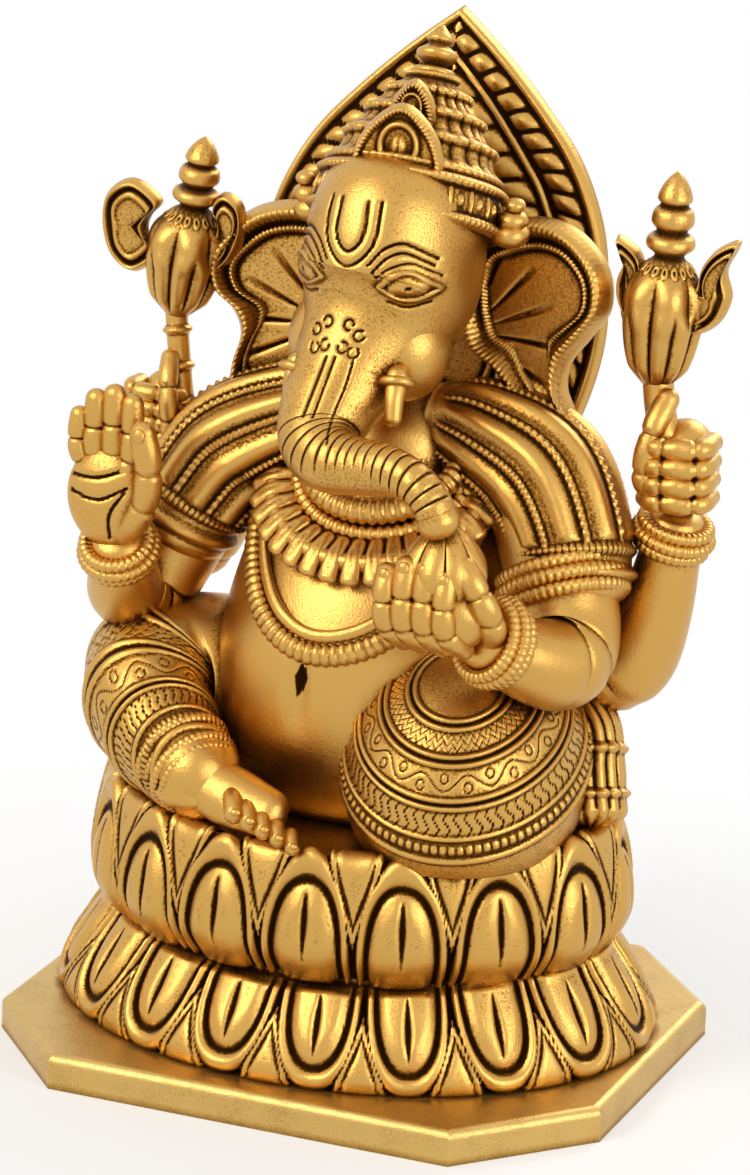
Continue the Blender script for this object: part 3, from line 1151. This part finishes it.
# ------------------------------------------------------------------ arms and hands
@dataclass
class Arms:
    """Four arms, their hands, bracelets and the armlet."""

    def limb(self, name: str, stations: Sequence) -> None:
        """Build an arm through (x, y, z, radius) stations, with two soft folds in the elbow's bend."""
        path = spline(stations, 110)
        grid = tube(path[:, :3], path[:, 3], path[:, 3], vec(0.2, -1, 0.3), 72, 0.5)
        along = arc_length(path[:, :3])
        bend = np.argmax(np.linalg.norm(np.gradient(unit(np.gradient(path[:, :3], axis=0)), axis=0),
                                        axis=1))
        spot = along[bend]
        along = with_ends(along)[:, None]
        folds = -(bump(along, spot - 2.5, 1.2) + bump(along, spot + 2.5, 1.2)) * 0.45
        Skin(name + "_flesh").add(raise_relief(grid, folds + np.zeros((1, 72)))).build(CHASED,
            "chased_brass", name)

    def finger(self, skin: Skin, points: Sequence, size: float, nail: bool = False) -> None:
        """Add a finger with creases at its two joints, and a nail when its back is in view."""
        path = spline(points, 60)
        grid = tube(path, size, size * 0.92, vec(1, 0.1, 0), 22)
        along = with_ends(np.linspace(0, 1, 60))[:, None]
        swell = 0.10 * size * (bump(along, 0.2, 0.2) + bump(along, 0.52, 0.16) + bump(along, 0.85, 0.2))
        crease = -(bump(along, 0.36, 0.035) + bump(along, 0.68, 0.035)) * 0.45
        skin.add(raise_relief(grid, swell + crease + np.zeros((1, 22))))
        if nail:
            skin.add(ball(path[-2] + vec(0, -size * 0.75, 0.2), (size * 0.55, size * 0.35, size * 0.7), 8,
                          14))

    def bracelet(self, name: str, wrist: Array, elbow: Array, radius: float, rings: int = 3) -> None:
        """Build ribbed rings side by side round a wrist."""
        axis = unit(wrist - elbow)
        skin = Skin(name + "_rings")
        for k in range(rings):
            skin.add(hoop(wrist + axis * (2.5 * k - 2.5), axis, radius + (0.8 if k % 2 else 0), 1.45, 1.4,
                          0.3), poles=False)
        skin.build(CHASED, "chased_brass", name)

    def build(self) -> None:
        """Build the arms, then each hand."""
        self.limb("front_right_arm", [(-33, 3, 133, 12), (-43, -1, 116, 10.6), (-50, -5, 101, 9.6),
                                      (-52.5, -13, 101, 9.0),
                                      (-51, -20, 107, 7.8), (-50, -25, 116, 6.2)])
        self.limb("front_left_arm", [(37, 3, 137, 12), (45, -4, 120, 12), (50.5, -10, 107, 11.4),
                                     (52, -18, 102, 10.6), (48, -28, 105, 9.0),
                                     (41.5, -37, 111.5, 7.0)])
        self.limb("rear_right_arm", [(-34, 8, 131, 10), (-42, 11, 115, 9), (-47, 12, 106, 8.2),
                                     (-50.5, 11, 109, 7.8), (-52, 9, 117, 6.6),
                                     (-53, 8, 128, 5.6)])
        self.limb("rear_left_arm", [(38, 8, 134, 11.5), (46, 11, 110, 11), (52, 11, 94, 10.4),
                                    (58.5, 10.5, 96, 9.8), (64, 9, 109, 8.0),
                                    (68, 8, 129, 6.0)])
        self.blessing_hand()
        self.sweet_hand()
        self.fists()
        self.bracelet("blessing_bracelet", vec(-50.2, -24, 114), vec(-51, -16, 103), 7.2)
        self.bracelet("sweet_bracelet", vec(43, -35, 110), vec(49.5, -24, 104), 8.3)
        self.bracelet("right_fist_bracelet", vec(-52.5, 8.3, 124.5), vec(-51, 11, 110), 6.6)
        self.bracelet("left_fist_bracelet", vec(67.2, 8.2, 126), vec(62, 10, 106), 7.2)
        axis = unit(vec(50.5, -10, 107) - vec(37, 3, 137))
        skin = Skin("armlet_rings")
        for k, radius in enumerate((12.9, 13.6, 12.8)):
            skin.add(hoop(vec(48, -6.6, 114) + axis * (3.0 * k - 4.5), axis, radius, 1.6, 1.6, 0.35),
                     poles=False)
        skin.build(CHASED, "chased_brass", "armlet")

    def blessing_hand(self) -> None:
        """Build the raised open hand with its palm lines."""
        grid = ball(vec(-51.5, -28, 126.8), (9.4, 4.6, 11.5), 60, 90)
        lines = [lay_on(grid, pts) for pts in ([(-59, 128), (-52, 127), (-45.5, 130)],
                                               [(-59, 131.5), (-52, 132), (-46.5, 134)],
                                               [(-46, 129), (-49, 124), (-49.5, 118)])]
        skin = Skin("open_hand").add(raise_relief(grid, etch(grid, lines, 0.5, -0.6)))
        for x, top, size in ((-58.6, 146.5, 2.1), (-54.6, 151.0, 2.4), (-50.2, 152.6, 2.5),
                             (-45.9, 151.0, 2.45)):
            self.finger(skin, [(0.5 * x - 25.75, -28, 129), (x, -28.3, 137),
                               (x * 0.998, -28.0, top - size)], size)
        self.finger(skin, [(-47, -28, 119), (-41.6, -31, 126), (-39.4, -33, 135), (-40.8, -33.6, 144)],
                    2.9, True)
        skin.build(CHASED, "chased_brass", "blessing_hand")

    def sweet_hand(self) -> None:
        """Build the front left hand: four fingers standing in front of the sweet, the thumb beside it."""
        skin = Skin("holding_hand").add(ball(vec(34.5, -42.5, 117.5), (10.4, 7.6, 8.6), 40, 60))
        for x, top, size in ((23.4, 126.5, 2.4), (27.8, 128.5, 2.6), (32.4, 128.5, 2.6), (36.9, 127, 2.5)):
            self.finger(skin, [(x + 2.5, -44, 110.5), (x + 0.4, -49.2, 115), (x, -50.2, 121),
                               (x, -48.6, top)], size, True)
        self.finger(skin, [(44.5, -40, 112), (45.5, -44.5, 118), (42.5, -46.5, 125), (39.5, -46, 129)], 2.8)
        skin.build(CHASED, "chased_brass", "sweet_hand")

    def fists(self) -> None:
        """Build both rear hands closed round their emblems."""
        for name, x, z, size in (("right_fist", -54, 137.5, 0.86), ("left_fist", 69.0, 141.5, 1.05)):
            side = 1 if x > 0 else -1
            skin = Skin(name + "_closed").add(ball(vec(x, 8, z), (7.2 * size, 7.6 * size, 10.2 * size),
                                                   40, 60))
            for k in range(4):
                h = z + (3.9 - 3.9 * k + 2) * size
                reach = (1.0, 1.06, 1.04, 0.94)[k] * size
                self.finger(skin, [(x + side * 6.4 * size, 6, h + 0.8),
                                   (x + side * 5.6 * size, 8 - 8.2 * reach, h + 0.6),
                                   (x - side * 2.5 * size, 8 - 9.0 * reach, h),
                                   (x - side * 6.2 * size, 8 - 5.5 * reach, h - 0.4)], 2.25 * size)
            self.finger(skin, [(x - side * 3 * size, 4, z - 6 * size),
                               (x - side * 5.8 * size, -1.0, z - 1),
                               (x - side * 4.6 * size, 0, z + 9 * size),
                               (x - side * 3.0 * size, 4, z + 15 * size)], 2.4 * size)
            skin.build(CHASED, "chased_brass", name)


# ------------------------------------------------------------------ emblems
class Wing(Enum):
    """Outlines of the flat parts at the emblems' sides, in millimetres from their own place."""

    BLADE = ((3.5, -5.5), (-2, -9.5), (-7, -6.6), (-9.2, 0), (-8, 6.4), (-2.5, 9.6), (3.5, 6.0),
             (1.4, 2.6), (0.6, 0), (1.4, -2.6))
    CURL = ((-3.5, -8.5), (2, -7.5), (6.5, -3), (8.0, 2.5), (7.0, 7.4), (3.6, 9.4), (1.2, 7.2),
            (2.4, 3.6), (0.8, 0), (-3.5, -2))
    FLAME = ((-4, -9), (2, -9.5), (7, -6.5), (9.4, -1), (8.2, 4.6), (10.6, 10.6), (6.4, 8.8), (3.4, 5.2),
             (1.6, 0.6), (-4, -3))
    LEAF = ((4, -8), (-1, -8.5), (-4.6, -4), (-5.2, 1), (-3.6, 6), (-5.4, 11), (-0.6, 8.4), (1.6, 3.4),
            (4, -1))


@dataclass
class Emblems:
    """The two attributes held up by the rear hands, and the sweet."""

    def pod(self, skin: Skin, foot: Array, axis: Array, tall: float) -> None:
        """Add the fluted pod with raised leaves, ring-punched dots and a tiered finial."""
        def relief(height: Array, turn: Array) -> Array:
            """Give long flutes below, a leaf field above and a row of ring-punched dots."""
            share = height / tall
            flutes = np.abs(np.sin(turn * 5)) ** 0.7 * 1.4 * ease(0.02, 0.12,
                                                                  share) * (1 - ease(0.30, 0.42, share))
            leaf = np.abs(np.sin(turn * 3)) * bump(share, 0.42, 0.16) * 1.8
            cell = (turn * 16 / (2 * math.pi)) % 1 - 0.5
            dots = bump(np.hypot(cell * 2.6, (share - 0.565) * tall / 1.3), 0.6, 0.42) * 0.5
            return flutes + leaf + dots
        shares = [(0.8, 0), (3.0, 0.02), (5.2, 0.10), (6.9, 0.22), (7.6, 0.36), (7.0, 0.50), (4.6, 0.58),
                  (3.2, 0.62), (5.2, 0.66), (5.0, 0.70),
                  (3.3, 0.73), (4.6, 0.77), (4.3, 0.82), (3.0, 0.85), (3.8, 0.88), (3.0, 0.93),
                  (1.8, 0.97), (0.3, 1.0)]
        skin.add(lathe([(r, s * tall) for r, s in shares], foot, axis, 150, 144, relief))

    def wing(self, skin: Skin, kind: Wing, place: Array, grow: float = 1.0) -> None:
        """Add a flat side part with a raised rim and a ridge inside it."""
        loop = np.array(kind.value) * grow
        core = {Wing.BLADE: (-3.2, 0), Wing.CURL: (4.2, -0.5), Wing.FLAME: (4.6, -1.5),
                Wing.LEAF: (-1.2, -1)}[kind]
        def relief(depth: Array, along: Array, x: Array, y: Array) -> Array:
            """Give the rim and the inner ridge."""
            return bump(depth, 1.0, 1.1) * 0.9 - 0.5 * bump(depth, 2.3, 0.8) + bump(depth, 3.6, 1.0) * 0.6
        skin.add(plate(loop, np.array(core) * grow, place, vec(1, 0, 0), UP, 3.8, relief, 180, 32))

    def build(self) -> None:
        """Build the axe, the noose and the sweet."""
        axis = unit(vec(5, 0, 34))
        foot = vec(-52, 8, 159)
        skin = Skin("axe_attribute")
        shaft = spline([(-46.6, 4, 128), (-48, 5, 137), (-50, 6.5, 147), (-52, 8, 160)], 90)
        along = arc_length(shaft)
        skin.add(tube(shaft, 2.5 + 0.9 * bump(along % 8.2, 4.1, 1.2),
                      2.5 + 0.9 * bump(along % 8.2, 4.1, 1.2), vec(1, 0, 0), 30))
        self.pod(skin, foot, axis, 42.0)
        self.wing(skin, Wing.BLADE, vec(-60.0, 8, 178.5), 1.12)
        self.wing(skin, Wing.CURL, vec(-44.5, 8, 178.5), 1.1)
        skin.build(CHASED, "chased_brass", "axe_emblem")
        axis = unit(vec(2, 0, 36))
        skin = Skin("noose_attribute")
        skin.add(tube(spline([(65, 5, 149), (63, 7, 155), (61.8, 8, 162)], 30), 3.4, 3.4, vec(1, 0, 0), 30))
        self.pod(skin, vec(61.5, 8, 158), axis, 48.5)
        self.wing(skin, Wing.FLAME, vec(67.5, 8, 181.5), 1.1)
        self.wing(skin, Wing.LEAF, vec(56.8, 8, 180))
        skin.build(CHASED, "chased_brass", "noose_emblem")
        def facets(height: Array, turn: Array) -> Array:
            """Give the sweet's pinched pleats."""
            return 0.9 * np.abs(np.cos(turn * 4)) * bump(height, 4,
                                                         9) - 0.5 * (1
                                                             - ease(0, 0.16,
                                                                 np.abs(np.cos(turn * 4)))) * bump(height,
                                                                     4, 9)
        profile = [(1, -4), (6.5, -3.4), (8.6, 0), (8.4, 4), (6.0, 8.6), (3.0, 12), (1.4, 14.2),
                   (0.2, 15.2)]
        Skin("pleated_sweet").add(lathe(profile, vec(33.8, -42.5, 124.5), UP, 60, 160,
                                        facets)).build(CHASED, "chased_brass", "modak")


# ------------------------------------------------------------------ studio
@dataclass
class Studio:
    """Camera, lamps, floor and the white surround."""

    target: tuple = (1.15, 0.0, 105.8)
    azimuth: float = 21.85
    elevation: float = 17.91
    roll: float = 2.01
    distance: float = 1286.5
    lens: float = 178.3

    def camera(self) -> None:
        """Aim the camera: its columns are the right, up and back directions."""
        a, e, r = (math.radians(v) for v in (self.azimuth, self.elevation, self.roll))
        back = vec(math.sin(a) * math.cos(e), -math.cos(a) * math.cos(e), math.sin(e))
        right = vec(math.cos(a), math.sin(a), 0)
        up = np.cross(back, right)
        turned_right = math.cos(r) * right + math.sin(r) * up
        turned_up = -math.sin(r) * right + math.cos(r) * up
        place = (vec(*self.target) + back * self.distance) * MM
        data = bpy.data.cameras.new("camera")
        data.lens = self.lens
        data.sensor_width = 36.0
        data.clip_start = 0.05
        camera = bpy.data.objects.new("camera", data)
        matrix = np.eye(4)
        matrix[:3, 0], matrix[:3, 1], matrix[:3, 2], matrix[:3, 3] = turned_right, turned_up, back, place
        camera.matrix_world = Matrix(matrix.tolist())
        bpy.context.scene.collection.objects.link(camera)
        bpy.context.scene.camera = camera

    def lamp(self, name: str, place: Sequence[float], size: float, power: float, tint: str) -> None:
        """Hang a square soft lamp that looks at the middle of the object."""
        data = bpy.data.lights.new(name, "AREA")
        data.size = size
        data.energy = power
        data.color = linear(tint)[:3]
        lamp = bpy.data.objects.new(name, data)
        back = unit(vec(*place) - vec(0, 0, 0.11))
        right = unit(np.cross(UP, back))
        matrix = np.eye(4)
        matrix[:3, 0], matrix[:3, 1], matrix[:3, 2], matrix[:3, 3] = right, np.cross(back, right), back, place
        lamp.matrix_world = Matrix(matrix.tolist())
        bpy.context.scene.collection.objects.link(lamp)

    def floor(self) -> None:
        """Lay the pale floor."""
        grid = np.array([[[-3.0, -3, 0], [3, -3, 0]], [[-3, 3, 0], [3, 3, 0]]])
        mesh = bpy.data.meshes.new("floor")
        mesh.from_pydata(grid.reshape(-1, 3).tolist(), [], [(0, 1, 3, 2)])
        floor = bpy.data.objects.new("floor", mesh)
        bpy.context.scene.collection.objects.link(floor)
        material = bpy.data.materials.new("pale_floor")
        material.use_nodes = True
        tree = material.node_tree
        shader = tree.nodes["Principled BSDF"]
        shader.inputs["Base Color"].default_value = linear("FAFAF9")
        shader.inputs["Roughness"].default_value = 0.9
        path = add_node(tree, "ShaderNodeLightPath").outputs
        seen = path["Is Camera Ray"]
        for ray in ("Is Glossy Ray", "Is Transmission Ray"):
            seen = add_node(tree, "ShaderNodeMath", {"operation": "MAXIMUM"},
                            {0: seen, 1: path[ray]}).outputs[0]
        place = add_node(tree, "ShaderNodeTexCoord").outputs["Object"]
        reach = add_node(tree, "ShaderNodeVectorMath", {"operation": "LENGTH"}, {0: place}).outputs["Value"]
        far = add_node(tree, "ShaderNodeMapRange",
                       {"From Min": 0.07, "From Max": 0.2, "To Min": 0.35, "To Max": 1.0},
                       {"Value": reach}).outputs["Result"]
        share = add_node(tree, "ShaderNodeMath", {"operation": "MULTIPLY"}, {0: seen, 1: far}).outputs[0]
        white = add_node(tree, "ShaderNodeEmission", {"Color": linear("FFFFFF"), "Strength": 1.0})
        mixed = add_node(tree, "ShaderNodeMixShader", {},
                         {0: share, 1: shader.outputs[0], 2: white.outputs[0]})
        tree.links.new(mixed.outputs[0], tree.nodes["Material Output"].inputs["Surface"])
        mesh.materials.append(material)

    def surround(self) -> None:
        """Show white to the camera and to the brass, and a softer white to matt surfaces."""
        world = bpy.data.worlds.new("surround")
        bpy.context.scene.world = world
        world.use_nodes = True
        tree = world.node_tree
        tree.nodes.clear()
        path = add_node(tree, "ShaderNodeLightPath").outputs
        seen = add_node(tree, "ShaderNodeMath", {"operation": "MAXIMUM"},
                        {0: path["Is Camera Ray"], 1: path["Is Glossy Ray"]}).outputs[0]
        seen = add_node(tree, "ShaderNodeMath", {"operation": "MAXIMUM"},
                        {0: seen, 1: path["Is Transmission Ray"]}).outputs[0]
        strength = add_node(tree, "ShaderNodeMapRange", {"To Min": 0.55, "To Max": 1.0},
                            {"Value": seen}).outputs["Result"]
        sky = add_node(tree, "ShaderNodeBackground", {"Color": linear("FFFFFF")}, {"Strength": strength})
        add_node(tree, "ShaderNodeOutputWorld", {}, {"Surface": sky.outputs[0]})

    def build(self) -> None:
        """Set up everything around the object."""
        bpy.context.scene.view_settings.view_transform = "Standard"
        self.camera()
        self.floor()
        self.surround()
        self.lamp("key", (-0.45, -0.75, 0.75), 0.35, 5.0, "FFF6EA")
        self.lamp("side", (0.8, -0.35, 0.35), 0.25, 2.2, "FFFFFF")
        self.lamp("rim", (0.2, 0.8, 0.7), 0.4, 3.0, "FFFFFF")


def dress_cad_nodes() -> None:
    """Give the CAD nodes that stay in view their finish."""
    for node, finish in (("plinth_plate", FILED), ("plinth_screws", BOLT_STEEL),
                         ("figure_bolts", BOLT_STEEL),
                         ("aureole_pins", CHASED)):
        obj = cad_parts[node]
        obj.data.materials.clear()
        obj.data.materials.append(finish.material())


def main() -> None:
    """Build the statue, then its studio."""
    Studio().build()
    dress_cad_nodes()
    Lotus().build()
    Body().build()
    Head().build()
    Crown().build()
    Ornaments().build()
    Arms().build()
    Emblems().build()


if __name__ == "__main__":
    main()
